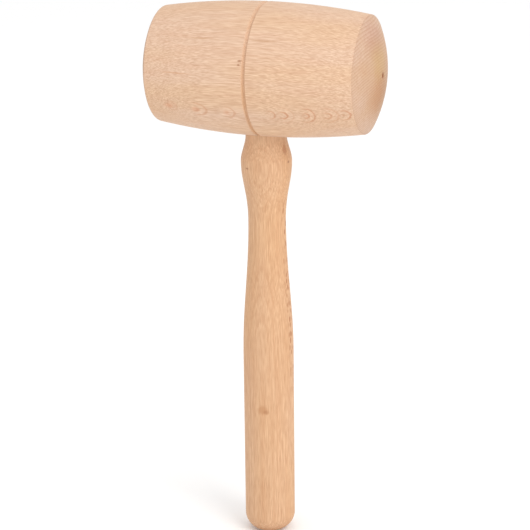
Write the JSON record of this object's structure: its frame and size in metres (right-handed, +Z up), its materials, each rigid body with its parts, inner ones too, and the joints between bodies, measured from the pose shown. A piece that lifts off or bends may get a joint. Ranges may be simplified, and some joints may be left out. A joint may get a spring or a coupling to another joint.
{
  "type": "wooden mallet",
  "caption": "Round carpenter's mallet in pale beech: a barrel head with domed striking faces and a groove round its middle, on a turned handle with a bulb, a neck and a straight grip.",
  "frame": {"origin": "the middle of the hand grip, on the handle's axis, where a hand or a clamp holds the mallet", "axes": "+Z up the handle to the head; +X along the head's axis, towards one striking face; +Y completes the right-handed frame"},
  "size_m": [0.145, 0.08, 0.336],
  "materials": {
    "head_beech": "bare pale beech, finely sanded and unvarnished, with the grain along the head",
    "handle_beech": "bare beech, finely sanded and a little redder than the head, with the grain along the handle",
    "wood_glue": "cured wood glue, hidden inside the joint"
  },
  "bodies": {
    "root": {"head": "head_beech", "handle": "handle_beech", "glue_film": "wood_glue"}
  },
  "joints": []
}
